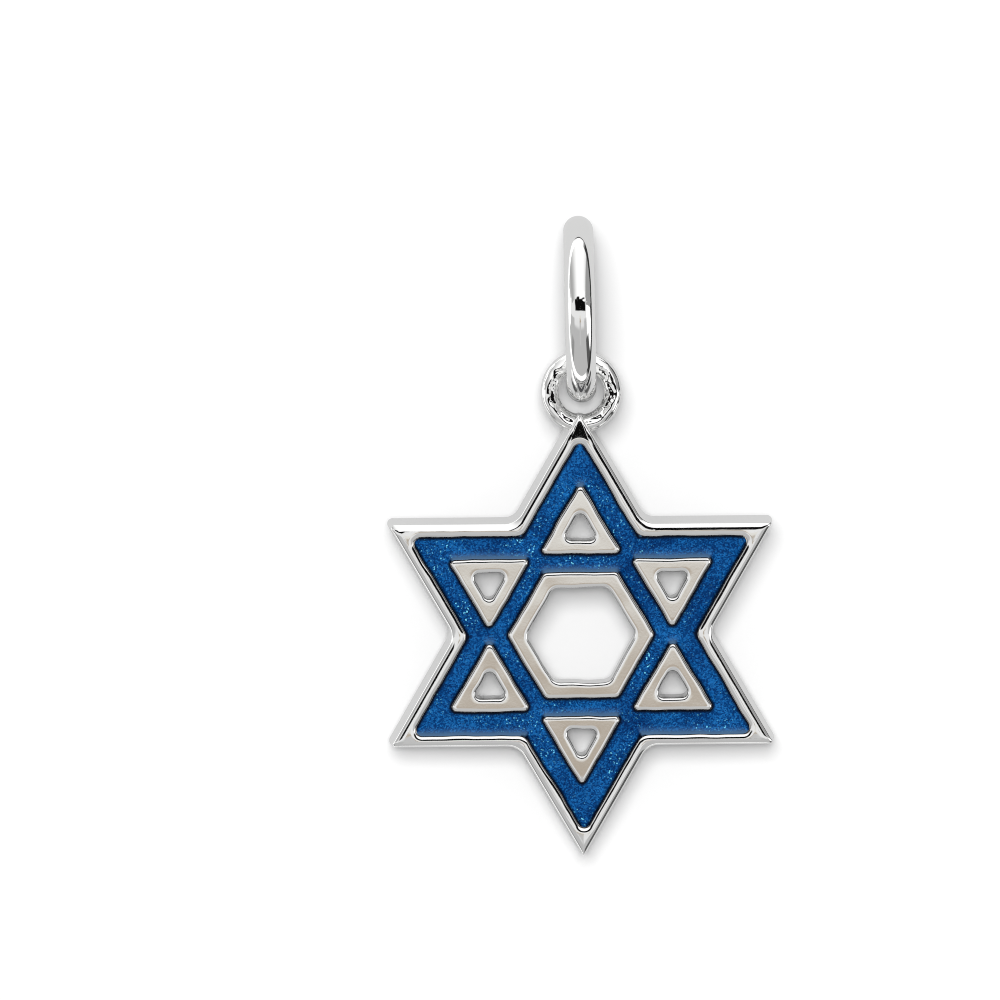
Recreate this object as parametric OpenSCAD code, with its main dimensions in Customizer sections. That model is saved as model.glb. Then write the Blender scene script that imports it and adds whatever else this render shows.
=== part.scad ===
// A small cast charm. A six-pointed star with a raised border holds enamel in its sunk channels,
// round six pierced triangles and a pierced hexagon. Its cast eye hangs on a round jump ring.
// The star stands in the XZ plane and faces -Y. The origin is the inside top of the jump ring,
// where a chain or cord lies.

/* [Star plate] */
// From the middle of the star to each of its straight edges, at the front
star_apothem = 3.5; // [3.3:0.05:5.0]
// Thickness of the plate
plate_t = 1.3; // [1.1:0.05:2.0]
// How much further out the sloping sides stand at the back than at the front
side_draft = 0.115; // [0.02:0.005:0.2]
// Width of the rounding along the outer front edge of the border
border_round = 0.2; // [0.1:0.01:0.22]
// Width of the small rounding along all back edges
back_round = 0.05; // [0.02:0.01:0.08]
// Corner radius of the six tips, at the front
tip_r = 0.09; // [0.04:0.01:0.15]
// Corner radius of the six notches between the tips, at the front
notch_r = 0.62; // [0.3:0.02:0.9]
// Width of the border, from its outer edge to the enamel
border_w = 0.35; // [0.32:0.01:0.5]
// Width of the rounding along the inner front edge of the border
rim_round = 0.1; // [0.04:0.01:0.11]
// Length of the filed slope at the top tip
tip_slope_len = 0.76; // [0.4:0.02:1.2]
// Angle of the filed slope at the top tip
tip_slope_angle = 16; // [5:1:25]

/* [Sunk channels] */
// Depth of the channels, from the front of the plate
channel_depth = 0.45; // [0.25:0.05:0.6]
// Width of the channel between the border and the triangles
outer_channel_w = 0.73; // [0.5:0.01:0.8]
// Width of the channel between the triangles and the hexagon
inner_channel_w = 0.6; // [0.4:0.01:0.7]
// Gap between the corners of two neighbouring triangles, as if these were sharp
triangle_gap = 0.36; // [0.2:0.02:0.5]
// Corner radius of the channel at the tips of the star
channel_tip_r = 0.22; // [0.1:0.02:0.4]
// Corner radius of the channel at the notches of the star
channel_notch_r = 0.26; // [0.1:0.02:0.5]

/* [Raised panels] */
// Corner radius of the hexagon
hexagon_r = 0.2; // [0.12:0.02:0.4]
// Corner radius of the triangles
triangle_r = 0.12; // [0.1:0.01:0.16]
// Width of the rounding along the front edges of the triangles and the hexagon
panel_round = 0.08; // [0.03:0.01:0.09]

/* [Piercings] */
// Width of the hexagon's metal, from its side to its hole
hexagon_band_w = 0.49; // [0.35:0.01:0.6]
// Corner radius of the hexagonal hole
hexagon_hole_r = 0.35; // [0.15:0.05:0.6]
// Width of the triangles' metal, from a side to the hole
triangle_band_w = 0.41; // [0.3:0.01:0.45]
// Corner radius of the triangular holes
triangle_hole_r = 0.17; // [0.08:0.01:0.2]
// Width of the rounding along the front edges of the holes
hole_round = 0.09; // [0.03:0.01:0.1]

/* [Enamel] */
// How far the enamel lies below the front of the plate
enamel_drop = 0.11; // [0.02:0.01:0.2]
// Gap between the enamel and the walls of its channel
enamel_gap = 0.015; // [0.005:0.005:0.03]

/* [Eye] */
// Outer diameter of the eye
eye_d = 2.56; // [2.2:0.02:3.2]
// Thickness of the eye's wire
eye_wire = 0.56; // [0.4:0.02:0.7]
// How far the top tip of the star reaches into the eye
eye_sink = 0.6; // [0.4:0.02:0.8]

/* [Jump ring] */
// Inner diameter of the jump ring
ring_bore = 4.0; // [3.2:0.1:6.0]
// Thickness of the jump ring's wire
ring_wire = 0.95; // [0.6:0.05:1.0]
// Gap between the jump ring and the top of the eye that hangs on it
hang_gap = 0.1; // [0.05:0.01:0.2]

/* [Hidden] */

ROUND_FN = 64;             // marks a circle as a true one
TIPS = 6;                  // tips, triangles and sides of the hexagon
TURN = 360 / TIPS;         // from one tip to the next
FINE_STEPS = 3;            // chords in a sharp corner
WIDE_STEPS = 6;            // chords in a wide corner
ROUND_ANGLES = [0, 35, 65, 90]; // where a rounded edge is cut into bands
CUT = 0.1;                 // how far a cutter passes the face it cuts
BITE = 0.05;               // how far a raised panel is sunk into the channel floor

front = plate_t / 2;
back = -front;
floor_z = front - channel_depth;
enamel_z = front - enamel_drop;

channel_apothem = star_apothem - border_w;
triangle_side = channel_apothem - outer_channel_w; // from the middle of the star to a slanted side
triangle_base = triangle_side + triangle_gap / 2; // from the middle of the star to the inner side
triangle_in_r = (2 * triangle_side - triangle_base) / 3;
triangle_at = triangle_base + triangle_in_r;       // from the middle of the star to the triangle's
hexagon_apothem = triangle_base - inner_channel_w; // from the middle of the star to each side
hexagon_hole = hexagon_apothem - hexagon_band_w;
triangle_hole = triangle_in_r - triangle_band_w;

ring_r = (ring_bore + ring_wire) / 2;  // to the middle of the wire
eye_r = (eye_d - eye_wire) / 2;        // to the middle of the wire
ring_z = -ring_bore / 2;
hang_z = ring_z - ring_r;              // middle of the wire that the eye hangs on
eye_z = hang_z + ring_wire / 2 + hang_gap + eye_wire / 2 - eye_r;
tip_z = eye_z - eye_d / 2 + eye_sink;
star_z = tip_z - 2 * star_apothem;

function unit(v) = v / norm(v);
function turned(v, a) = [v[0] * cos(a) - v[1] * sin(a), v[0] * sin(a) + v[1] * cos(a)];

// The arc of radius r that rounds the corner at b, on the way from a to c
function corner_arc(a, b, c, r, steps) =
    let (
        u = unit(a - b),
        v = unit(c - b),
        half = acos(u * v) / 2,
        middle = b + unit(u + v) * r / sin(half),
        start = b + u * r / tan(half) - middle,
        sweep = -sign(cross(u, v)) * (180 - 2 * half)
    )
    [for (i = [0 : steps]) middle + turned(start, sweep * i / steps)];

// Outline of a six-pointed star, with a tip at the top
function star_outline(apothem, tip, notch) =
    let (
        n = 2 * TIPS,
        p = [for (k = [0 : n - 1])
            let (a = 90 + k * TURN / 2, r = k % 2 == 0 ? 2 * apothem : apothem / cos(TURN / 2))
            [r * cos(a), r * sin(a)]]
    )
    [for (k = [0 : n - 1])
        let (sharp = k % 2 == 0)
        each corner_arc(p[(k + n - 1) % n], p[k], p[(k + 1) % n],
                        sharp ? tip : notch, sharp ? FINE_STEPS : WIDE_STEPS)];

// Outline of a triangle or hexagon with its sides at in_r, and a corner (triangle) or side (hexagon) up
function even_outline(n, in_r, r) =
    let (
        first = n == 3 ? 90 : 90 + 180 / n,
        p = [for (k = [0 : n - 1])
            in_r / cos(180 / n) * [cos(first + k * 360 / n), sin(first + k * 360 / n)]]
    )
    [for (k = [0 : n - 1])
        each corner_arc(p[(k + n - 1) % n], p[k], p[(k + 1) % n], r, FINE_STEPS)];

// Solid through outlines of as many points each, given as [height, points] from low to high
module loft(sections) {
    n = len(sections[0][1]);
    m = len(sections);
    points = [for (s = sections) each [for (p = s[1]) [p[0], p[1], s[0]]]];
    low = len(points);
    caps = [[0, 0, sections[0][0]], [0, 0, sections[m - 1][0]]];
    sides = [for (j = [0 : m - 2], i = [0 : n - 1])
        let (a = j * n + i, b = j * n + (i + 1) % n)
        each [[a, a + n, b + n], [a, b + n, b]]];
    ends = [for (i = [0 : n - 1])
        each [[low, i, (i + 1) % n], [low + 1, (m - 1) * n + (i + 1) % n, (m - 1) * n + i]]];
    polyhedron(points = concat(points, caps), faces = concat(sides, ends));
}

// Steps of a rounded outer edge as [inset, height], up to a flat top at z
function edge_steps(z, w) = [for (a = ROUND_ANGLES) [w * (1 - cos(a)), z - w + w * sin(a)]];

// Plain plate with sloping sides, a rounded front edge and a slightly rounded back edge
module plate_blank() {
    function outline(out) =
        star_outline(star_apothem + out, tip_r + max(out, 0), notch_r - out);
    loft(concat(
        [[back, outline(side_draft - back_round)],
         [back + back_round, outline(side_draft)]],
        [for (s = edge_steps(front, border_round)) [s[1], outline(-s[0])]]
    ));
}

// Everything inside the border, from the channel floor up
module channel_cut() {
    function outline(out) =
        star_outline(channel_apothem + out, channel_tip_r + out, channel_notch_r - out);
    loft(concat(
        [[floor_z, outline(0)]],
        [for (s = edge_steps(front, rim_round)) [s[1], outline(s[0])]],
        [[front + CUT, outline(rim_round)]]
    ));
}

// A panel with n sides that stands on the channel floor
module raised_panel(n, in_r, r) {
    loft(concat(
        [[floor_z - BITE, even_outline(n, in_r, r)]],
        [for (s = edge_steps(front, panel_round)) [s[1], even_outline(n, in_r - s[0], r - s[0])]]
    ));
}

// A hole with n sides through the plate, rounded at the front and slightly at the back
module piercing(n, in_r, r) {
    function outline(out) = even_outline(n, in_r + out, r + out);
    loft(concat(
        [[back - CUT, outline(back_round)],
         [back, outline(back_round)],
         [back + back_round, outline(0)]],
        [for (s = edge_steps(front, hole_round)) [s[1], outline(s[0])]],
        [[front + CUT, outline(hole_round)]]
    ));
}

// Six copies round the star, the first one at the top
module round_star(distance) {
    for (k = [0 : TIPS - 1]) rotate(k * TURN) translate([0, distance, 0]) children();
}

// Wedge that files the top tip back towards the eye
module tip_slope() {
    translate([-star_apothem / 2, 2 * star_apothem - tip_slope_len, front])
        rotate([-tip_slope_angle, 0, 0])
            cube([star_apothem, 2 * star_apothem, plate_t]);
}

module star() {
    color("silver") {
        translate([0, 0, star_z]) rotate([90, 0, 0]) difference() {
            union() {
                difference() {
                    plate_blank();
                    channel_cut();
                    tip_slope();
                }
                round_star(triangle_at) raised_panel(3, triangle_in_r, triangle_r);
                raised_panel(TIPS, hexagon_apothem, hexagon_r);
            }
            round_star(triangle_at) piercing(3, triangle_hole, triangle_hole_r);
            piercing(TIPS, hexagon_hole, hexagon_hole_r);
        }
        translate([0, 0, eye_z]) rotate([90, 0, 0]) wire_ring(eye_r, eye_wire);
    }
}

module enamel() {
    color("royalblue") translate([0, 0, star_z]) rotate([90, 0, 0])
        translate([0, 0, floor_z]) linear_extrude(enamel_z - floor_z) difference() {
            polygon(star_outline(channel_apothem - enamel_gap, channel_tip_r, channel_notch_r));
            round_star(triangle_at)
                polygon(even_outline(3, triangle_in_r + enamel_gap, triangle_r + enamel_gap));
            polygon(even_outline(TIPS, hexagon_apothem + enamel_gap, hexagon_r + enamel_gap));
        }
}

module jump_ring() {
    color("silver") translate([0, 0, ring_z]) rotate([0, 90, 0]) wire_ring(ring_r, ring_wire);
}

// Closed ring of round wire about Z, with radius r to the middle of its wire
module wire_ring(r, wire) {
    rotate_extrude($fn = ROUND_FN) translate([r, 0]) circle(d = wire, $fn = ROUND_FN);
}

star();
enamel();
jump_ring();
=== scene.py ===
import math
from collections import namedtuple

import bpy
import numpy as np
from mathutils import Matrix, Vector, geometry, noise


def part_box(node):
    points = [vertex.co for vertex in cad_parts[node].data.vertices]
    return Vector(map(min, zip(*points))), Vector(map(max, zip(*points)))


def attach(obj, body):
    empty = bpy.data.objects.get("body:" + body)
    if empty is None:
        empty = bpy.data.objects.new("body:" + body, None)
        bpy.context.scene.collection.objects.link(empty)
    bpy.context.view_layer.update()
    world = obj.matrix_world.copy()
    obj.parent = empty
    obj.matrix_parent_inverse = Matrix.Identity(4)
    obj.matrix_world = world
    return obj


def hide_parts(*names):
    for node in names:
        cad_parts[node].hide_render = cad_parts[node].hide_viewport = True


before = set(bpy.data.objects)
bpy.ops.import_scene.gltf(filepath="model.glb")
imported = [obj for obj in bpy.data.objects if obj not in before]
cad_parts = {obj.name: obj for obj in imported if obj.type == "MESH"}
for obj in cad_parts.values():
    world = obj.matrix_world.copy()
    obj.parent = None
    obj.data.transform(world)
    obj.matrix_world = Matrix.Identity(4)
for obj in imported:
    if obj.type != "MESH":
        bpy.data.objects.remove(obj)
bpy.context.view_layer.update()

MM = 0.001

# Places taken from the frame, in millimetres
plate_low, plate_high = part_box("star")
enamel_low, enamel_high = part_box("enamel")
ring_low, ring_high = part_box("jump_ring")
FRONT = -plate_low.y / MM
STAR_Z = (enamel_low.z + enamel_high.z) / 2 / MM
CHANNEL_FLOOR = -enamel_high.y / MM
ENAMEL_FLAT = -enamel_low.y / MM
RING_WIRE_R = (ring_high.x - ring_low.x) / 2 / MM
RING_R = (ring_high.z - ring_low.z) / 2 / MM - RING_WIRE_R
RING_Z = (ring_high.z + ring_low.z) / 2 / MM
EYE_TOP = plate_high.z / MM
STAR_LOW = plate_low.z / MM

# Sizes of the plate, in millimetres. Each apothem is the distance of a side from the middle.
STAR_APOTHEM = 3.5
BORDER_W = 0.35
OUTER_CHANNEL_W = 0.73
INNER_CHANNEL_W = 0.6
TRIANGLE_GAP = 0.36
TRIANGLE_BAND_W = 0.41
HEXAGON_BAND_W = 0.49
SIDE_DRAFT = 0.09
HOLE_DRAFT = 0.05
BACK_ROUND = 0.05
ENAMEL_GAP = 0.015
CHANNEL_APOTHEM = STAR_APOTHEM - BORDER_W
TRIANGLE_SIDE = CHANNEL_APOTHEM - OUTER_CHANNEL_W
TRIANGLE_BASE = TRIANGLE_SIDE + TRIANGLE_GAP / 2
TRIANGLE_IN_R = (2 * TRIANGLE_SIDE - TRIANGLE_BASE) / 3
TRIANGLE_AT = TRIANGLE_BASE + TRIANGLE_IN_R
HEXAGON_IN_R = TRIANGLE_BASE - INNER_CHANNEL_W

# The hand-finished star isn't quite even. Each flank has its own place, in millimetres out from the
# true star, for the plate's edge and for the channel's edge, and its own breadth of the polished edge:
# of the shallow crown and of the round shoulder outside it.
Flank = namedtuple("Flank", "plate channel crown shoulder")
FLANKS = [
    Flank(plate=0.045, channel=0.030, crown=1.30, shoulder=1.00),
    Flank(plate=0.050, channel=0.020, crown=0.45, shoulder=1.60),
    Flank(plate=-0.015, channel=-0.015, crown=1.10, shoulder=1.00),
    Flank(plate=-0.020, channel=-0.040, crown=1.30, shoulder=1.00),
    Flank(plate=0.050, channel=0.055, crown=1.00, shoulder=0.80),
    Flank(plate=0.015, channel=0.010, crown=1.10, shoulder=1.00),
    Flank(plate=0.090, channel=0.105, crown=1.10, shoulder=1.00),
    Flank(plate=0.040, channel=0.070, crown=1.00, shoulder=0.80),
    Flank(plate=0.035, channel=0.015, crown=1.20, shoulder=0.90),
    Flank(plate=0.000, channel=0.000, crown=1.20, shoulder=0.90),
    Flank(plate=0.045, channel=-0.010, crown=1.35, shoulder=0.75),
    Flank(plate=0.030, channel=0.000, crown=1.25, shoulder=0.90),
]

# The top tip is filed back towards the eye. Its rim narrows by a share, reached over a short run.
TIP_SLOPE_START = 6.34
TIP_SLOPE_ANGLE = math.radians(9.5)
TIP_PINCH = 0.6
TIP_PINCH_RUN = 0.35

# The border is slightly domed
DOME_ANGLE = math.radians(3.5)

# Corner radii, in millimetres. The tips run counter-clockwise from the top one.
TIP_R = [0.08, 0.12, 0.10, 0.03, 0.10, 0.06]
TIP_BACK_R = [0.30, 0.17, 0.17, 0.30, 0.17, 0.17]
NOTCH_R = 0.62
NOTCH_BACK_R = 0.5
CHANNEL_TIP_R = 0.22
CHANNEL_NOTCH_R = 0.4

# Raised panels, with the radii of the circles that fit inside them and inside their holes
Panel = namedtuple("Panel", "sides in_r corner_r hole_in_r hole_r")
TRIANGLE = Panel(sides=3, in_r=TRIANGLE_IN_R, corner_r=0.12, hole_in_r=TRIANGLE_IN_R - TRIANGLE_BAND_W,
                 hole_r=0.17)
HEXAGON = Panel(sides=6, in_r=HEXAGON_IN_R, corner_r=0.2, hole_in_r=HEXAGON_IN_R - HEXAGON_BAND_W,
                hole_r=0.35)
# A panel's corners grow sharper towards its top, by this share of the edge's width, down to a least one
CORNER_SHRINK = 0.6
LEAST_CORNER_R = 0.03

# Polished edges, from the flat to the side, as (angle reached in degrees, radius in millimetres)
OUTER_EDGE = [(25, 0.275), (60, 0.2), (90, 0.05)]
INNER_EDGE = [(27, 0.36), (90, 0.04)]
PANEL_EDGE = [(13, 0.25), (90, 0.07)]
HOLE_EDGE = [(12, 0.3), (90, 0.08)]

# Eye, in millimetres
EYE_WIRE_R = 0.28
EYE_R = 1.28 - EYE_WIRE_R
EYE_Z = EYE_TOP - EYE_R - EYE_WIRE_R
EYE_LEAN = math.radians(8)

# Lumps of the eye's front and inner side: their height in millimetres, their number to a unit of length
# round the eye and to a radian round its wire, and how the middling and the fine ones follow the coarse
EYE_LUMP = 0.017
EYE_LUMPS_ROUND = 2.2
EYE_LUMPS_OVER = 0.9
MIDDLING_SCALE = 2.3
MIDDLING_SHARE = 0.4
FINE_SCALE = 5
FINE_SHARE = 0.25
# How strong they are on the front and on the inner side, which starts where the angle has this cosine
FRONT_LUMPS = 0.8
INNER_LUMPS = 0.5
INNER_FROM = 0.45

# Filed grooves along the eye's wire, in radians from its outside over the front to its inside, and
# their depths in millimetres
Groove = namedtuple("Groove", "at wander width depth")
EYE_GROOVES = [
    Groove(at=0.75, wander=0.2, width=0.1, depth=0.007),
    Groove(at=1.75, wander=0.5, width=0.3, depth=0.028),
    Groove(at=2.55, wander=0.3, width=0.15, depth=0.016),
]

# The eye and the jump ring sit slightly to the right. The ring leans to the left at the top and its
# front is turned to the left.
EYE_SHIFT = 0.065
RING_SHIFT = 0.035
RING_LEAN = 0.014
RING_TURN = 0.023

# The ring's wire is uneven by this much and has one small scratch, at an angle round the ring
RING_UNEVEN = 0.0015
SCRATCH_AT = 0.2
SCRATCH_WIDTH = 0.07
SCRATCH_DEPTH = 0.003

# Steps in the meshes
ARC_STEPS = 12
SIDE_STEPS = 36
PANEL_STEPS = 60
EDGE_STEPS = 16
SIDE_LOOPS = 8
ENAMEL_GRID = 0.045

# Triangulation: the kind of result, triangles inside the outlines, and how near points are merged
TRIANGLES_INSIDE = 1
MERGE_DISTANCE = 1e-7

# Hand finish, in millimetres: how far the inner edges wander and the share of the finer waves, how much
# the polished faces wave and how deep they reach, and the width of the outer edge that stays true
EDGE_WOBBLE = 0.03
FINE_WOBBLE = 0.6
SURFACE_WOBBLE = 0.0018
POLISHED_DEPTH = 0.3
TRUE_EDGE_W = 0.1

# Enamel, in millimetres: how it creeps up the walls, lies in the middle, waves and is calm near a wall
MENISCUS_RISE = 0.085
MENISCUS_REACH = 0.18
ENAMEL_MIDDLE = ENAMEL_FLAT - 0.045
WAVE_HEIGHT = 0.018
RIPPLE_HEIGHT = 0.004
CALM_REACH = 0.15

# Painted sheen on the enamel's slopes that face up, in place of the light above reflected there: its
# strength, how far up they face where it starts and over what it grows, and its reach from the wall in
# millimetres
PAINTED_SHEEN = 0.8
PAINTED_SHEEN_START = 0.7
PAINTED_SHEEN_RUN = 0.25
PAINTED_SHEEN_REACH = 0.16

# Creases in the shading, where faces meet at more than this, in degrees
CAST_CREASE = 14
ENAMEL_CREASE = 40

# Camera: where the middle of the star's front lies in the picture of 1000 by 1000
PICTURE = 1000
PIXELS_PER_MM = 31.6
STAR_PIXEL = (581.2, 635.3)
CAMERA_AZIMUTH = math.radians(-1)
CAMERA_ELEVATION = math.radians(6.5)
CAMERA_ROLL = math.radians(0.4)
CAMERA_LENS = 300
CAMERA_SENSOR = 36


def add_camera():
    """Long lens, slightly above the charm, with the star where the picture has it."""
    a = CAMERA_AZIMUTH
    e = CAMERA_ELEVATION
    back = Vector((math.sin(a) * math.cos(e), -math.cos(a) * math.cos(e), math.sin(e)))
    turn = (-back).to_track_quat("-Z", "Y").to_matrix()
    turn = Matrix.Rotation(-CAMERA_ROLL, 3, back) @ turn
    right = turn @ Vector((1, 0, 0))
    up = turn @ Vector((0, 1, 0))
    across = (STAR_PIXEL[0] - PICTURE / 2) / PIXELS_PER_MM
    above = (PICTURE / 2 - STAR_PIXEL[1]) / PIXELS_PER_MM
    star_front = Vector((0, -FRONT, STAR_Z))
    aim = star_front - right * across - up * above
    distance = PICTURE / PIXELS_PER_MM * CAMERA_LENS / CAMERA_SENSOR
    data = bpy.data.cameras.new("camera")
    data.lens = CAMERA_LENS
    data.sensor_width = CAMERA_SENSOR
    data.clip_start = 0.01
    data.clip_end = 10
    camera = bpy.data.objects.new("camera", data)
    bpy.context.scene.collection.objects.link(camera)
    camera.matrix_world = Matrix.Translation((aim + back * distance) * MM) @ turn.to_4x4()
    bpy.context.scene.camera = camera


# Outlines in the star's own plane, counter-clockwise

def corner_arc(before, corner, after, r, steps):
    """The arc of radius r that rounds a corner."""
    u = (before - corner).normalized()
    v = (after - corner).normalized()
    half = math.acos(max(-1, min(1, u.dot(v)))) / 2
    middle = corner + (u + v).normalized() * r / math.sin(half)
    start = corner + u * r / math.tan(half) - middle
    sweep = -math.copysign(math.pi - 2 * half, u.x * v.y - u.y * v.x)
    arc = []
    for i in range(steps + 1):
        a = sweep * i / steps
        x = start.x * math.cos(a) - start.y * math.sin(a)
        y = start.x * math.sin(a) + start.y * math.cos(a)
        arc.append(middle + Vector((x, y)))
    return arc


def rounded_outline(corners, radii, arc_steps, side_steps):
    """Round every corner and cut every straight side into equal steps."""
    n = len(corners)
    arcs = [corner_arc(corners[k - 1], corners[k], corners[(k + 1) % n], radii[k], arc_steps)
            for k in range(n)]
    outline = []
    for k in range(n):
        outline += arcs[k]
        start = arcs[k][-1]
        end = arcs[(k + 1) % n][0]
        outline += [start.lerp(end, i / side_steps) for i in range(1, side_steps)]
    return outline


def flank_normal(k):
    """The way that flank k faces. Flanks run counter-clockwise from the top tip, two for each tip."""
    return math.radians(150 + 30 * k if k % 2 == 0 else 60 + 30 * k)


def star_corners(distances):
    """Tips and notches, where each flank's line meets the one before it."""
    corners = []
    for k in range(12):
        a, b = flank_normal(k - 1 if k else 11), flank_normal(k)
        da, db = distances[k - 1], distances[k]
        turn = math.sin(b - a)
        x = (da * math.sin(b) - db * math.sin(a)) / turn
        y = (db * math.cos(a) - da * math.cos(b)) / turn
        corners.append(Vector((x, y)))
    return corners


def star_outline(distances, tip_r, notch_r):
    """Six-pointed star with a tip at the top, from the distance of each flank and the radii of the tips."""
    radii = []
    for r in tip_r:
        radii += [r, notch_r]
    return rounded_outline(star_corners(distances), radii, ARC_STEPS, SIDE_STEPS)


def plate_outline(out, tip_r, notch_r):
    """The plate's edge, moved out."""
    return star_outline([STAR_APOTHEM + f.plate + out for f in FLANKS], tip_r, notch_r)


def channel_outline(out, tip_r, notch_r):
    """The channel's edge, moved out."""
    return star_outline([CHANNEL_APOTHEM + f.channel + out for f in FLANKS], [tip_r] * 6, notch_r)


def smooth_step(value, low, high):
    """From 0 at the low value to 1 at the high one, with a soft start and end."""
    t = max(0, min(1, (value - low) / (high - low)))
    return t * t * (3 - 2 * t)


def crown_outline(crown, shoulder):
    """The plate's edge, moved in by each flank's share of the crown and of the shoulder."""
    contour = plate_outline(0, TIP_R, NOTCH_R)
    distances = [STAR_APOTHEM + f.plate - crown * f.crown - shoulder * f.shoulder for f in FLANKS]
    outline = star_outline(distances, TIP_R, NOTCH_R + crown + shoulder)
    pinched = []
    for p, edge in zip(outline, contour):
        share = TIP_PINCH * smooth_step(p.y, TIP_SLOPE_START - TIP_PINCH_RUN, TIP_SLOPE_START)
        pinched.append(p.lerp(edge, share))
    return pinched


def even_corners(n, in_r, middle, turn):
    """Corners of a triangle with a corner up, or of a hexagon with a side up, then turned."""
    first = math.pi / 2 if n == 3 else math.pi / 2 + math.pi / n
    out_r = in_r / math.cos(math.pi / n)
    corners = []
    for k in range(n):
        a = first + turn + k * 2 * math.pi / n
        corners.append(middle + out_r * Vector((math.cos(a), math.sin(a))))
    return corners


def even_outline(n, in_r, r, middle, turn):
    """Triangle or hexagon with rounded corners."""
    return rounded_outline(even_corners(n, in_r, middle, turn), [r] * n, ARC_STEPS, PANEL_STEPS // n)


def edge_profile(edge):
    """Polished edge as (distance out from the flat, depth below it), from the flat to the side."""
    profile = [(0, 0)]
    start = 0
    for reached, r in edge:
        out, depth = profile[-1]
        end = math.radians(reached)
        steps = max(2, round(EDGE_STEPS * (end - start) / (math.pi / 2)))
        for i in range(1, steps + 1):
            a = start + (end - start) * i / steps
            profile.append((out + r * (math.sin(a) - math.sin(start)),
                            depth + r * (math.cos(start) - math.cos(a))))
        start = end
    return profile


def mesh_object(name, points, faces):
    """A new object from points in metres and their faces."""
    mesh = bpy.data.meshes.new(name)
    mesh.from_pydata(points, [], faces)
    made = bpy.data.objects.new(name, mesh)
    bpy.context.scene.collection.objects.link(made)
    return made


class Shell:
    """A closed surface made of level loops, in the star's plane, with height towards the viewer."""

    def __init__(self):
        self.points = []
        self.faces = []

    def loop(self, outline, height):
        first = len(self.points)
        self.points += [Vector((p.x, p.y, height)) for p in outline]
        return list(range(first, len(self.points)))

    def band(self, a, b):
        n = len(a)
        for i in range(n):
            j = (i + 1) % n
            self.faces.append((a[i], a[j], b[j], b[i]))

    def bands(self, loops):
        for a, b in zip(loops, loops[1:]):
            self.band(a, b)

    def fill(self, loops, facing, extra=()):
        """Fill between the first loop and the others, facing the front (1) or the back (-1)."""
        ids = [i for one in loops for i in one] + list(extra)
        flat = [self.points[i].to_2d() for i in ids]
        edges = []
        start = 0
        for one in loops:
            n = len(one)
            edges += [(start + i, start + (i + 1) % n) for i in range(n)]
            start += n
        done = geometry.delaunay_2d_cdt(flat, edges, [], TRIANGLES_INSIDE, MERGE_DISTANCE)
        back = [ids[originals[0]] for originals in done[3]]
        faces = [[back[i] for i in face] for face in done[2]]
        middles = np.array([sum((self.points[i] for i in face), Vector()) / 3 for face in faces])
        open_gap = np.zeros(len(faces), bool)
        for one in loops[1:]:
            open_gap |= inside([self.points[i] for i in one], middles[:, 0], middles[:, 1])
        for face, is_open in zip(faces, open_gap):
            if not is_open:
                self.faces.append(tuple(face if facing > 0 else reversed(face)))

    def to_object(self, name):
        points = [(p.x * MM, -p.z * MM, (p.y + STAR_Z) * MM) for p in self.points]
        piece = mesh_object(name, points, self.faces)
        piece.data.validate()
        return piece


def closed_wire(name, around, across, place, flipped=False):
    """A closed loop of wire. place gives the point, in millimetres, at an angle round the loop and an
    angle round the wire. The faces are flipped where the two angles turn the other way."""
    points = []
    faces = []
    for i in range(around):
        for j in range(across):
            x, y, z = place(2 * math.pi * i / around, 2 * math.pi * j / across)
            points.append((x * MM, y * MM, z * MM))
            here = i * across
            there = (i + 1) % around * across
            next_j = (j + 1) % across
            face = (here + j, there + j, there + next_j, here + next_j)
            faces.append((face[0], *reversed(face[1:])) if flipped else face)
    return mesh_object(name, points, faces)


def unevenness(p, waves, layer):
    """Smooth noise over the plate, with this many waves to a millimetre. Each layer is another one."""
    return noise.noise(Vector((p.x * waves, p.y * waves, layer)))


def wander(p, waves, layer):
    """How far a point strays across and up, from two layers of the noise."""
    return Vector((unevenness(p, waves, layer), unevenness(p, waves, layer + 1)))


def star_distance(p):
    """Distance of a point from the middle, measured square to the star's nearest edge."""
    big = []
    for first in (30, 90):
        normals = [math.radians(first + 120 * k) for k in range(3)]
        big.append(max(p.x * math.cos(a) + p.y * math.sin(a) for a in normals))
    return min(big)


def hand_finish(points):
    """Slight waves of the edges and the polished faces. The outer edge of the star stays true."""
    true_from = STAR_APOTHEM - TRUE_EDGE_W
    for p in points:
        inner = max(0, min(1, (true_from - star_distance(p)) / (BORDER_W - TRUE_EDGE_W)))
        broad = wander(p, waves=0.9, layer=3)
        fine = wander(p, waves=2.3, layer=7)
        amount = EDGE_WOBBLE * inner
        p.x += amount * (broad.x + FINE_WOBBLE * fine.x)
        p.y += amount * (broad.y + FINE_WOBBLE * fine.y)
        if p.z > FRONT - POLISHED_DEPTH:
            p.z += SURFACE_WOBBLE * unevenness(p, waves=1.6, layer=11)


def dome_border(points):
    """The front of the border falls slightly outwards. The back stays flat."""
    for p in points:
        out = max(0, star_distance(p) - CHANNEL_APOTHEM)
        p.z -= out * math.tan(DOME_ANGLE) * smooth_step(p.z, -FRONT, FRONT)


def settle(piece):
    """Turn a piece's modifiers into its mesh."""
    depsgraph = bpy.context.evaluated_depsgraph_get()
    mesh = bpy.data.meshes.new_from_object(piece.evaluated_get(depsgraph))
    piece.modifiers.clear()
    piece.data = mesh


def unite(target, tool):
    """Join a tool to the target, as one closed mesh."""
    union = target.modifiers.new("union", "BOOLEAN")
    union.operation = "UNION"
    union.solver = "EXACT"
    union.object = tool
    settle(target)
    bpy.data.objects.remove(tool)


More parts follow.
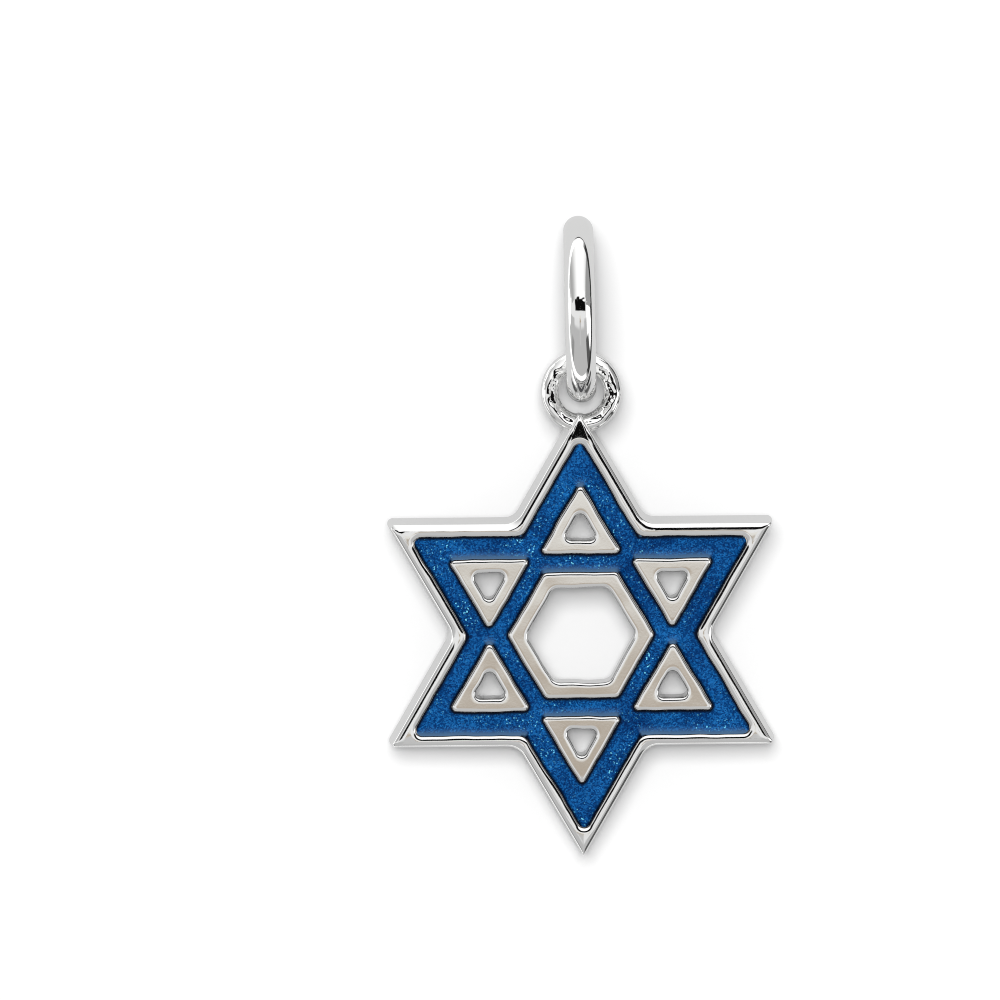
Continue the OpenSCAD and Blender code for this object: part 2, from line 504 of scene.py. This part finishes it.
def smooth(piece, crease):
    """Shade smooth, with creases only where faces meet at more than the given angle."""
    piece.data.polygons.foreach_set("use_smooth", [True] * len(piece.data.polygons))
    piece.data.set_sharp_from_angle(angle=math.radians(crease))
    weighted = piece.modifiers.new("even_shading", "WEIGHTED_NORMAL")
    weighted.mode = "FACE_AREA"
    weighted.keep_sharp = True
    settle(piece)


# Pieces

def panels():
    """The raised panels, each with its middle and its turn: six triangles round the hexagon."""
    for k in range(6):
        turn = k * math.pi / 3
        away = turn + math.pi / 2
        yield TRIANGLE, TRIANGLE_AT * Vector((math.cos(away), math.sin(away))), turn
    yield HEXAGON, Vector((0, 0)), 0


def raised_panel(shell, panel, middle, turn):
    """A pierced panel, from the channel floor over its top and down its hole to the back."""
    def outline(in_r, r):
        return even_outline(panel.sides, in_r, r, middle, turn)

    def edge_outline(inset):
        r = max(panel.corner_r - inset * CORNER_SHRINK, LEAST_CORNER_R)
        return outline(panel.in_r - inset, r)

    outer = edge_profile(PANEL_EDGE)
    hole = edge_profile(HOLE_EDGE)
    outer_w = outer[-1][0]
    hole_w = hole[-1][0]
    mouth_in_r = panel.hole_in_r + hole_w
    mouth_r = panel.hole_r + hole_w
    loops = [shell.loop(outline(panel.in_r, panel.corner_r), CHANNEL_FLOOR)]
    for out, depth in reversed(outer):
        loops.append(shell.loop(edge_outline(outer_w - out), FRONT - depth))
    top = edge_outline(outer_w)
    mouth = outline(mouth_in_r, mouth_r)
    for share in (0.15, 0.5, 0.85):
        loops.append(shell.loop([a.lerp(b, share) for a, b in zip(top, mouth)], FRONT))
    for out, depth in hole:
        loops.append(shell.loop(outline(mouth_in_r - out, mouth_r - out), FRONT - depth))
    # The hole widens towards the back
    widths = [(HOLE_DRAFT / 2, 0)]
    for share in (0, 0.5, 1):
        a = share * math.pi / 2
        out = HOLE_DRAFT + BACK_ROUND * (1 - math.cos(a))
        widths.append((out, -FRONT + BACK_ROUND * (1 - math.sin(a))))
    for out, height in widths:
        loops.append(shell.loop(outline(panel.hole_in_r + out, panel.hole_r + out), height))
    shell.bands(loops)
    return loops[0], loops[-1]


def border(shell):
    """The plate's side, the domed and polished border and the outer wall of the channel."""
    outer = edge_profile(OUTER_EDGE)
    inner = edge_profile(INNER_EDGE)
    outer_w, outer_depth = outer[-1]
    inner_w = inner[-1][0]
    shoulder = FRONT - outer_depth
    loops = []
    for share in (1, 0.5, 0):
        a = share * math.pi / 2
        out = SIDE_DRAFT - BACK_ROUND * (1 - math.cos(a))
        height = -FRONT + BACK_ROUND * (1 - math.sin(a))
        loops.append(shell.loop(plate_outline(out, TIP_BACK_R, NOTCH_BACK_R), height))
    low = -FRONT + BACK_ROUND
    for i in range(1, SIDE_LOOPS):
        share = i / SIDE_LOOPS
        tip_r = [behind + (front - behind) * share for front, behind in zip(TIP_R, TIP_BACK_R)]
        notch_r = NOTCH_BACK_R + (NOTCH_R - NOTCH_BACK_R) * share
        outline = plate_outline(SIDE_DRAFT * (1 - share), tip_r, notch_r)
        loops.append(shell.loop(outline, low + (shoulder - low) * share))
    crown_w = OUTER_EDGE[0][1] * math.sin(math.radians(OUTER_EDGE[0][0]))
    for out, depth in reversed(outer):
        crown = max(0, crown_w - out)
        loops.append(shell.loop(crown_outline(crown, outer_w - out - crown), FRONT - depth))
    for out, depth in inner:
        step = inner_w - out
        outline = channel_outline(step, CHANNEL_TIP_R + step, CHANNEL_NOTCH_R - step)
        loops.append(shell.loop(outline, FRONT - depth))
    wall = channel_outline(0, CHANNEL_TIP_R, CHANNEL_NOTCH_R)
    loops.append(shell.loop(wall, CHANNEL_FLOOR))
    shell.bands(loops)
    return loops[0], loops[-1]


def eye_point(a, b):
    """A point of the cast eye: a thick round loop with an uneven, hand-filed front."""
    out = Vector((math.cos(a), math.sin(a)))
    facing = max(0, math.sin(b))
    inward = max(0, INNER_FROM - math.cos(b))
    place = Vector((out.x * EYE_LUMPS_ROUND, out.y * EYE_LUMPS_ROUND, b * EYE_LUMPS_OVER))
    lump = noise.noise(place) + MIDDLING_SHARE * noise.noise(place * MIDDLING_SCALE)
    lump += FINE_SHARE * inward * noise.noise(place * FINE_SCALE)
    r = EYE_WIRE_R + EYE_LUMP * lump * min(1, facing * FRONT_LUMPS + inward * INNER_LUMPS)
    for groove in EYE_GROOVES:
        at = groove.at + groove.wander * unevenness(out, waves=2.6, layer=2)
        r -= groove.depth * math.exp(-((b - at) / groove.width) ** 2)
    r = min(r, EYE_WIRE_R)
    radius = EYE_R + r * math.cos(b)
    rise = out.y * radius
    back = (rise + EYE_R) * math.tan(EYE_LEAN)
    return out.x * radius + EYE_SHIFT, back - r * math.sin(b), rise + EYE_Z


def slope_top_tip(points):
    """File the front of the top tip back towards the eye. The back stays flat."""
    for p in points:
        if p.y > TIP_SLOPE_START:
            share = smooth_step(p.z, -FRONT, FRONT)
            p.z -= (p.y - TIP_SLOPE_START) * math.tan(TIP_SLOPE_ANGLE) * share


def cast_star():
    """The plate with its border, its raised panels and the eye, as one casting."""
    shell = Shell()
    back_loop, channel_loop = border(shell)
    feet = []
    holes = []
    for panel, middle, turn in panels():
        foot, hole = raised_panel(shell, panel, middle, turn)
        feet.append(foot)
        holes.append(hole)
    hand_finish(shell.points)
    dome_border(shell.points)
    slope_top_tip(shell.points)
    shell.fill([channel_loop] + feet, 1)
    shell.fill([back_loop] + holes, -1)
    star = shell.to_object("cast_star")
    unite(star, closed_wire("eye", around=360, across=72, place=eye_point))
    smooth(star, CAST_CREASE)
    return star


def outline_distance(x, y, corners):
    """Distance of points from a closed outline of straight sides."""
    best = np.full(x.shape, np.inf)
    for a, b in zip(corners, corners[1:] + corners[:1]):
        dx, dy = b.x - a.x, b.y - a.y
        t = np.clip(((x - a.x) * dx + (y - a.y) * dy) / (dx * dx + dy * dy), 0, 1)
        best = np.minimum(best, np.hypot(x - a.x - t * dx, y - a.y - t * dy))
    return best


def wall_distance(x, y):
    """Distance of enamel points from the nearest metal wall."""
    best = outline_distance(x, y, star_corners([CHANNEL_APOTHEM + f.channel for f in FLANKS]))
    for panel, middle, turn in panels():
        r = panel.corner_r
        corners = even_corners(panel.sides, panel.in_r - r, middle, turn)
        best = np.minimum(best, outline_distance(x, y, corners) - r)
    return np.maximum(best, 0)


def inside(outline, x, y):
    """True for points inside a closed outline."""
    found = np.zeros(x.shape, bool)
    for a, b in zip(outline, outline[1:] + outline[:1]):
        crosses = (a.y > y) != (b.y > y)
        at = a.x + (y - a.y) * (b.x - a.x) / (b.y - a.y if b.y != a.y else 1e-12)
        found ^= crosses & (x < at)
    return found


def enamel_field(outer, gaps):
    """Evenly spread points of the enamel's surface, clear of the walls."""
    reach = 2 * STAR_APOTHEM
    rows = np.arange(-reach, reach, ENAMEL_GRID * math.sqrt(3) / 2)
    columns = np.arange(-reach, reach, ENAMEL_GRID)
    x, y = np.meshgrid(columns, rows)
    x = x + (np.arange(len(rows)) % 2)[:, None] * ENAMEL_GRID / 2
    x, y = x.ravel(), y.ravel()
    keep = inside(outer, x, y)
    for outline in gaps:
        keep &= ~inside(outline, x, y)
    keep &= wall_distance(x, y) > ENAMEL_GAP + 0.5 * ENAMEL_GRID
    return [Vector((px, py, ENAMEL_MIDDLE)) for px, py in zip(x[keep], y[keep])]


def poured_enamel():
    """The enamel in its channels. It creeps up the metal walls and dips between them."""
    shell = Shell()
    outer = channel_outline(-ENAMEL_GAP, CHANNEL_TIP_R, CHANNEL_NOTCH_R)
    gaps = [even_outline(panel.sides, panel.in_r + ENAMEL_GAP, panel.corner_r + ENAMEL_GAP, middle, turn)
            for panel, middle, turn in panels()]
    top = [shell.loop(outline, ENAMEL_MIDDLE) for outline in [outer] + gaps]
    bottom = [shell.loop(outline, CHANNEL_FLOOR) for outline in [outer] + gaps]
    first = len(shell.points)
    shell.points += enamel_field(outer, gaps)
    field = range(first, len(shell.points))
    skin = [i for one in top for i in one] + list(field)
    x = np.array([shell.points[i].x for i in skin])
    y = np.array([shell.points[i].y for i in skin])
    distance = wall_distance(x, y)
    rise = MENISCUS_RISE * np.exp(-distance / MENISCUS_REACH)
    for i, d, h in zip(skin, distance, rise):
        p = shell.points[i]
        wave = unevenness(p, waves=1.3, layer=21) * WAVE_HEIGHT
        ripple = unevenness(p, waves=5, layer=31) * RIPPLE_HEIGHT
        p.z = ENAMEL_MIDDLE + h + (wave + ripple) * min(1, d / CALM_REACH)
    shell.fill(top, 1, field)
    shell.fill(bottom, -1)
    shell.band(bottom[0], top[0])
    for upper, lower in zip(top[1:], bottom[1:]):
        shell.band(upper, lower)
    hand_finish(shell.points)
    enamel = shell.to_object("blue_enamel")
    # Painted sheen: a mask, strongest near a wall where the slope faces up, that lightens the colour as if
    # the light above were reflected there
    step = 0.01
    facing_up = (wall_distance(x, y + step) - wall_distance(x, y - step)) / (2 * step)
    painted_sheen = PAINTED_SHEEN * np.clip((facing_up - PAINTED_SHEEN_START) / PAINTED_SHEEN_RUN, 0, 1)
    painted_sheen = painted_sheen * np.exp(-(distance / PAINTED_SHEEN_REACH) ** 2)
    for name, part in (("wall_distance", distance), ("painted_sheen", painted_sheen)):
        values = np.zeros(len(shell.points), np.float32)
        values[skin] = part
        enamel.data.attributes.new(name, "FLOAT", "POINT").data.foreach_set("value", values)
    enamel.data.polygons.foreach_set("use_smooth", [True] * len(enamel.data.polygons))
    enamel.data.set_sharp_from_angle(angle=math.radians(ENAMEL_CREASE))
    return enamel


def wire_noise(a, b, around, across, layer):
    """Smooth noise at an angle round a loop of wire and an angle round the wire."""
    return noise.noise(Vector((a * around, b * across, layer)))


def ring_point(a, b):
    """A point of the jump ring of round polished wire, square to the star."""
    r = RING_WIRE_R - RING_UNEVEN * (1 + wire_noise(a, b, around=2.5, across=0.7, layer=41))
    scratch = math.exp(-((a - SCRATCH_AT) / SCRATCH_WIDTH) ** 2)
    r -= SCRATCH_DEPTH * scratch * (1 + wire_noise(a, b, around=28, across=4, layer=5))
    radius = RING_R + r * math.cos(b)
    rise = math.sin(a) * radius
    back = -math.cos(a) * radius
    side = r * math.sin(b) + RING_SHIFT - RING_LEAN * rise + RING_TURN * back
    return side, back, rise + RING_Z


def wire_ring():
    """The jump ring."""
    ring = closed_wire("jump_ring_wire", around=480, across=96, place=ring_point, flipped=True)
    ring.data.polygons.foreach_set("use_smooth", [True] * len(ring.data.polygons))
    return ring


# Finishes

class Recipe:
    """The nodes of a finish, and short ways to add the usual ones."""

    def __init__(self, tree):
        self.nodes = tree.nodes
        self.links = tree.links
        self.nodes.clear()

    def add(self, kind, inputs=None, **settings):
        """A node with its settings. An input is a value or the output that feeds it."""
        node = self.nodes.new(kind)
        for name, value in settings.items():
            setattr(node, name, value)
        for socket, value in (inputs or {}).items():
            if isinstance(value, bpy.types.NodeSocket):
                self.links.new(value, node.inputs[socket])
            else:
                node.inputs[socket].default_value = value
        return node

    def ranged(self, value, low, high, first=0, last=1, way="LINEAR"):
        """A value between low and high, moved to the range from first to last and kept inside it."""
        inputs = {"Value": value, "From Min": low, "From Max": high, "To Min": first, "To Max": last}
        return self.add("ShaderNodeMapRange", inputs, interpolation_type=way).outputs["Result"]

    def maths(self, operation, *values):
        """A calculation with one to three values."""
        return self.add("ShaderNodeMath", dict(enumerate(values)), operation=operation).outputs["Value"]

    def over(self, lower, upper, share, label=""):
        """One colour over another."""
        inputs = {"A": lower, "B": upper, "Factor": share}
        return self.add("ShaderNodeMix", inputs, data_type="RGBA", label=label).outputs["Result"]

    def either(self, usual, other, share):
        """One shader or another."""
        return self.add("ShaderNodeMixShader", {1: usual, 2: other, "Fac": share}).outputs["Shader"]

    def direction(self):
        """The parts of the direction in which a point lies from its object's middle."""
        place = self.add("ShaderNodeTexCoord")
        unit = self.add("ShaderNodeVectorMath", {0: place.outputs["Object"]}, operation="NORMALIZE")
        return self.add("ShaderNodeSeparateXYZ", {"Vector": unit.outputs["Vector"]}).outputs


def new_material(name):
    material = bpy.data.materials.new(name)
    material.use_nodes = True
    return material, Recipe(material.node_tree)


def polish_marks():
    """Fine polishing marks and a slight haze that both metals share."""
    group = bpy.data.node_groups.new("polish_marks", "ShaderNodeTree")
    sockets = group.interface
    for name, value in (("Scale", 4000), ("Haze Low", 0.03), ("Haze High", 0.09)):
        sockets.new_socket(name, in_out="INPUT", socket_type="NodeSocketFloat").default_value = value
    for name in ("Roughness", "Height"):
        sockets.new_socket(name, in_out="OUTPUT", socket_type="NodeSocketFloat")
    recipe = Recipe(group)
    given = recipe.add("NodeGroupInput").outputs
    place = recipe.add("ShaderNodeTexCoord").outputs["Object"]
    grain = recipe.add("ShaderNodeTexNoise", {"Vector": place, "Scale": given["Scale"], "Detail": 3})
    haze = recipe.ranged(grain.outputs["Fac"], 0, 1, given["Haze Low"], given["Haze High"])
    recipe.add("NodeGroupOutput", {"Roughness": haze, "Height": grain.outputs["Fac"]})
    return group


def silver(name, marks, bump_depth, scale, haze):
    """Polished silver, with the depth in metres, the scale and the haze of its polishing marks."""
    material, recipe = new_material(name)
    given = {"Scale": scale, "Haze Low": haze[0], "Haze High": haze[1]}
    polish = recipe.add("ShaderNodeGroup", given, node_tree=marks).outputs
    bump = recipe.add("ShaderNodeBump", {
        "Strength": 1,
        "Distance": bump_depth,
        "Height": polish["Height"],
    })
    metal = recipe.add("ShaderNodeBsdfPrincipled", {
        "Base Color": (0.93, 0.93, 0.925, 1),
        "Metallic": 1,
        "Roughness": polish["Roughness"],
        "Normal": bump.outputs["Normal"],
    })
    recipe.add("ShaderNodeOutputMaterial", {"Surface": metal.outputs["BSDF"]})
    return material


def glitter_enamel():
    """Deep blue enamel full of fine flakes, a few with painted glints, with a painted shade where it meets
    the metal and a painted sheen on slopes that face up.
    """
    material, recipe = new_material("glitter_enamel")
    place = recipe.add("ShaderNodeTexCoord").outputs["Object"]
    flakes = recipe.add("ShaderNodeTexVoronoi", {"Vector": place, "Scale": 25000})
    flake = recipe.add("ShaderNodeSeparateColor", {"Color": flakes.outputs["Color"]}).outputs
    clouds = recipe.add("ShaderNodeTexNoise", {
        "Vector": place,
        "Scale": 1100,
        "Detail": 4,
        "Roughness": 0.4,
    })
    shifted = recipe.ranged(clouds.outputs["Fac"], 0.3, 0.7, 0.06, 0.38)
    mixed = recipe.maths("MULTIPLY_ADD", flake["Red"], 0.66, shifted)
    tone = recipe.add("ShaderNodeValToRGB", {"Fac": mixed})
    tones = tone.color_ramp.elements
    tones[0].color = (0.0002, 0.010, 0.06, 1)
    tones[1].color = (0.010, 0.14, 0.42, 1)
    tones.new(0.5).color = (0.0008, 0.039, 0.16, 1)
    # Painted glints: a few flakes are coloured bright, as if they caught the light
    spark = recipe.ranged(flake["Green"], 0.945, 1)
    crowds = recipe.add("ShaderNodeTexNoise", {"Vector": place, "Scale": 700, "Detail": 2})
    crowded = recipe.ranged(crowds.outputs["Fac"], 0.42, 0.66, 0.06)
    bright = recipe.maths("MULTIPLY", spark, crowded)
    colour = recipe.over(tone.outputs["Color"], (0.25, 0.9, 1.15, 1), bright)
    # Painted shade: a near-black line along the metal walls, where the enamel lies in their shade
    wall = recipe.add("ShaderNodeAttribute", attribute_name="wall_distance")
    edge = recipe.ranged(wall.outputs["Fac"], 0.04, 0.16, way="SMOOTHSTEP")
    colour = recipe.over((0.001, 0.003, 0.01, 1), colour, edge)
    # Painted sheen: the slope that faces up is lighter, as if it reflected the light above
    painted_sheen = recipe.add("ShaderNodeAttribute", attribute_name="painted_sheen")
    colour = recipe.over(colour, (0.08, 0.17, 0.31, 1), painted_sheen.outputs["Fac"])
    # Next to the metal, reflections of the enamel stay grey
    light_path = recipe.add("ShaderNodeLightPath")
    colour = recipe.over(colour, (0.05, 0.05, 0.055, 1), light_path.outputs["Is Glossy Ray"])
    ripple = recipe.add("ShaderNodeTexNoise", {"Vector": place, "Scale": 9000})
    bump = recipe.add("ShaderNodeBump", {
        "Strength": 1,
        "Distance": 0.000012,
        "Height": ripple.outputs["Fac"],
    })
    shell = recipe.add("ShaderNodeBsdfPrincipled", {
        "Base Color": colour,
        "Roughness": 0.12,
        "IOR": 1.52,
        "Specular IOR Level": 0.05,
        "Normal": bump.outputs["Normal"],
    })
    recipe.add("ShaderNodeOutputMaterial", {"Surface": shell.outputs["BSDF"]})
    return material


# Stage: pale wall behind the charm, a tent of soft cards round it, and two lights

TENT_R = 1.0

# The wall leans almost as if the charm lay on it: this far behind the ring, and further behind the
# lowest tip, in millimetres. It reaches this far from the middle each way.
WALL_CLEARANCE = 0.1
TIP_CLEARANCE = 1.0
WALL_REACH = 1500

# Patches of the tent, later ones over earlier ones. Side is the angle to the right, height the angle
# from the front over the top to the back. Soft is the width of a patch's soft edges. All in degrees.
TENT_BASE = (0.5, 0.5, 0.5)
Patch = namedtuple("Patch", "name sides heights colour side_soft height_soft")
TENT_PATCHES = [
    Patch("behind", (-90, 90), (112, 250), (0.72, 0.72, 0.72), 3, 3),
    Patch("near_low", (-44, 30), (-18, 0), (0.80, 0.80, 0.80), 10, 8),
    Patch("table", (-75, 75), (-8, 30), (0.84, 0.84, 0.84), 6, 5),
    Patch("below_cream", (-5, 5), (-40, -9), (0.55, 0.55, 0.55), 5, 5),
    Patch("cream_card", (-4, 6), (-11, -2.5), (0.79, 0.775, 0.735), 2, 2),
    Patch("cream_shade", (-4, 6), (-11, -7.5), (0.45, 0.385, 0.315), 2, 3.2),
    Patch("left_sky", (-65, -10), (19, 108), (0.42, 0.42, 0.42), 3, 3),
    Patch("sky", (-34, 44), (19, 100), (1.12, 1.12, 1.12), 50, 4),
    Patch("right_card", (50, 84), (-41, 18), (1.5, 1.5, 1.5), 2, 3),
    Patch("low_right_card", (60, 84), (-120, -41), (1.3, 1.3, 1.3), 2, 3),
    Patch("right_grey", (44, 84), (18, 140), (0.34, 0.34, 0.34), 2, 3),
    Patch("low_right_flag", (40, 60), (-110, -36), (0.1, 0.1, 0.1), 3, 8),
    Patch("low_left_flag", (-60, -44), (-110, -45), (0.3, 0.3, 0.3), 3, 8),
    Patch("left_card", (-91, -76), (-60, 100), (1.6, 1.6, 1.6), 2, 3),
    Patch("lens_slot", (-36, 42), (3.7, 19), (0.004, 0.004, 0.004), 8, 1),
    Patch("right_flag", (84, 91), (-180, 260), (0.02, 0.02, 0.02), 2, 2),
]


def tent_material():
    """The cards of the tent, by the side and the height at which they stand."""
    material, recipe = new_material("tent")
    parts = recipe.direction()
    maths = recipe.maths
    side = maths("DEGREES", maths("ARCSINE", parts["X"]))
    towards = maths("MULTIPLY", parts["Y"], -1)
    height = maths("DEGREES", maths("ARCTAN2", parts["Z"], towards))
    # Below the back, the height goes on past 180 degrees
    turned = maths("ADD", height, 360)
    low = maths("LESS_THAN", height, -100)
    height = maths("ADD", maths("MULTIPLY", maths("SUBTRACT", turned, height), low), height)

    def between(value, ends, soft):
        start = recipe.ranged(value, ends[0] - soft / 2, ends[0] + soft / 2, 0, 1, "SMOOTHSTEP")
        end = recipe.ranged(value, ends[1] - soft / 2, ends[1] + soft / 2, 1, 0, "SMOOTHSTEP")
        return maths("MULTIPLY", start, end)

    colour = (*TENT_BASE, 1)
    for patch in TENT_PATCHES:
        across = between(side, patch.sides, patch.side_soft)
        along = between(height, patch.heights, patch.height_soft)
        colour = recipe.over(colour, (*patch.colour, 1), maths("MULTIPLY", across, along), patch.name)
    # The metal throws the light from above on to the wall, and hardly any from below
    thrown = recipe.ranged(height, -2, 12, 0.02, 0.45)
    light_path = recipe.add("ShaderNodeLightPath")
    seen = recipe.over(colour, thrown, light_path.outputs["Diffuse Depth"])
    glow = recipe.add("ShaderNodeEmission", {"Color": seen})
    recipe.add("ShaderNodeOutputMaterial", {"Surface": glow.outputs["Emission"]})
    material.cycles.emission_sampling = "NONE"
    return material


def add_tent():
    """A dome of soft cards that shows only in reflections."""
    rings = 24
    sides = 48
    points = []
    faces = []
    for i in range(rings + 1):
        a = math.pi * (i + 0.5) / (rings + 1)
        for j in range(sides):
            b = 2 * math.pi * j / sides
            points.append((TENT_R * math.sin(a) * math.cos(b), TENT_R * math.sin(a) * math.sin(b),
                           TENT_R * math.cos(a)))
    for i in range(rings):
        for j in range(sides):
            k = (j + 1) % sides
            faces.append((i * sides + j, i * sides + k, (i + 1) * sides + k, (i + 1) * sides + j))
    faces.append(tuple(range(sides)))
    faces.append(tuple(reversed(range(rings * sides, (rings + 1) * sides))))
    tent = mesh_object("tent", points, faces)
    tent.location = (0, 0, STAR_Z * MM / 2)
    tent.data.materials.append(tent_material())
    tent.visible_camera = False
    tent.visible_diffuse = False
    tent.visible_shadow = False
    tent.visible_transmission = False


def wall_material():
    """Pale matt wall. It is greyer in reflections, bright at a grazing angle and clear from behind."""
    material, recipe = new_material("pale_wall")
    light_path = recipe.add("ShaderNodeLightPath").outputs
    facing = recipe.add("ShaderNodeLayerWeight", {"Blend": 0.5}).outputs["Facing"]
    # Far off, the wall is bright, but dark on the right and with a dark edge at the top
    across = recipe.direction()["X"]
    right = recipe.ranged(across, 0.3, 0.6, way="SMOOTHSTEP")
    not_left = recipe.ranged(across, -0.5, -0.2)
    edge = recipe.ranged(facing, 0.82, 0.85, 1, 0)
    dark = recipe.maths("MAXIMUM", recipe.maths("MULTIPLY", edge, not_left), right)
    tone = recipe.over((1.3, 1.3, 1.3, 1), (0.04, 0.04, 0.04, 1), dark)
    glow = recipe.add("ShaderNodeEmission", {"Color": tone})
    less = recipe.ranged(light_path["Diffuse Depth"], 0, 1, 0.59, 0.2)
    grey = recipe.add("ShaderNodeBsdfDiffuse", {"Color": less})
    matt = recipe.add("ShaderNodeBsdfDiffuse", {"Color": (0.9, 0.9, 0.9, 1)})
    clear = recipe.add("ShaderNodeBsdfTransparent")
    far = recipe.ranged(facing, 0.79, 0.81, way="SMOOTHSTEP")
    reflected = recipe.either(grey.outputs["BSDF"], glow.outputs["Emission"], far)
    front = recipe.either(matt.outputs["BSDF"], reflected, light_path["Is Glossy Ray"])
    backfacing = recipe.add("ShaderNodeNewGeometry").outputs["Backfacing"]
    surface = recipe.either(front, clear.outputs["BSDF"], backfacing)
    recipe.add("ShaderNodeOutputMaterial", {"Surface": surface})
    material.cycles.emission_sampling = "NONE"
    return material


def add_wall():
    """The wall behind the charm. The plate's back lies as far behind its middle as its front before it."""
    ring_back = RING_R + RING_WIRE_R
    slope = (ring_back + WALL_CLEARANCE - FRONT - TIP_CLEARANCE) / (RING_Z - STAR_LOW)
    corners = []
    for across, up in ((-1, -1), (1, -1), (1, 1), (-1, 1)):
        x = across * WALL_REACH
        z = up * WALL_REACH
        y = ring_back + WALL_CLEARANCE + (z - RING_Z) * slope
        corners.append((x * MM, y * MM, z * MM))
    wall = mesh_object("pale_wall", corners, [(0, 1, 2, 3)])
    wall.data.materials.append(wall_material())


# Soft lights on the wall and the enamel. The key light from above makes the soft shadow. Side and height
# are in degrees, distances and sizes in metres.
LIGHT_DISTANCE = 0.4
Light = namedtuple("Light", "name side height size energy")
LIGHTS = [
    Light("key_light", side=-4, height=15, size=0.13, energy=0.94),
    Light("fill_light", side=-1, height=7.5, size=0.06, energy=0.48),
]


def add_lights():
    for one in LIGHTS:
        a = math.radians(one.side)
        e = math.radians(one.height)
        towards = Vector((math.sin(a) * math.cos(e), -math.cos(a) * math.cos(e), math.sin(e)))
        data = bpy.data.lights.new(one.name, "AREA")
        data.shape = "DISK"
        data.size = one.size
        data.energy = one.energy
        light = bpy.data.objects.new(one.name, data)
        bpy.context.scene.collection.objects.link(light)
        light.location = Vector((0, 0, STAR_Z * MM)) + towards * LIGHT_DISTANCE
        light.rotation_mode = "QUATERNION"
        light.rotation_quaternion = (-towards).to_track_quat("-Z", "Y")
        light.visible_glossy = False
        light.visible_camera = False


def add_world():
    """Even grey light from all round, seen by the camera as pale ground."""
    world = bpy.data.worlds.new("studio")
    world.use_nodes = True
    recipe = Recipe(world.node_tree)
    room = recipe.add("ShaderNodeBackground", {"Color": (0.33, 0.33, 0.33, 1)})
    pale = recipe.add("ShaderNodeBackground", {"Color": (0.95, 0.95, 0.95, 1)})
    from_camera = recipe.add("ShaderNodeLightPath").outputs["Is Camera Ray"]
    surface = recipe.either(room.outputs["Background"], pale.outputs["Background"], from_camera)
    recipe.add("ShaderNodeOutputWorld", {"Surface": surface})
    bpy.context.scene.world = world


def finish(piece, material, body, node):
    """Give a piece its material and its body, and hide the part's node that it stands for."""
    piece.data.materials.clear()
    piece.data.materials.append(material)
    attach(piece, body)
    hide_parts(node)


add_camera()
add_world()
add_wall()
add_tent()
add_lights()
marks = polish_marks()
cast_silver = silver("cast_silver", marks, bump_depth=0.0000003, scale=14000, haze=(0.04, 0.09))
drawn_silver = silver("drawn_silver", marks, bump_depth=0.0000004, scale=5000, haze=(0.03, 0.06))
finish(cast_star(), cast_silver, "charm", "star")
finish(poured_enamel(), glitter_enamel(), "charm", "enamel")
finish(wire_ring(), drawn_silver, "ring", "jump_ring")
bpy.context.scene.view_settings.view_transform = "Standard"
bpy.context.scene.cycles.filter_width = 1.0
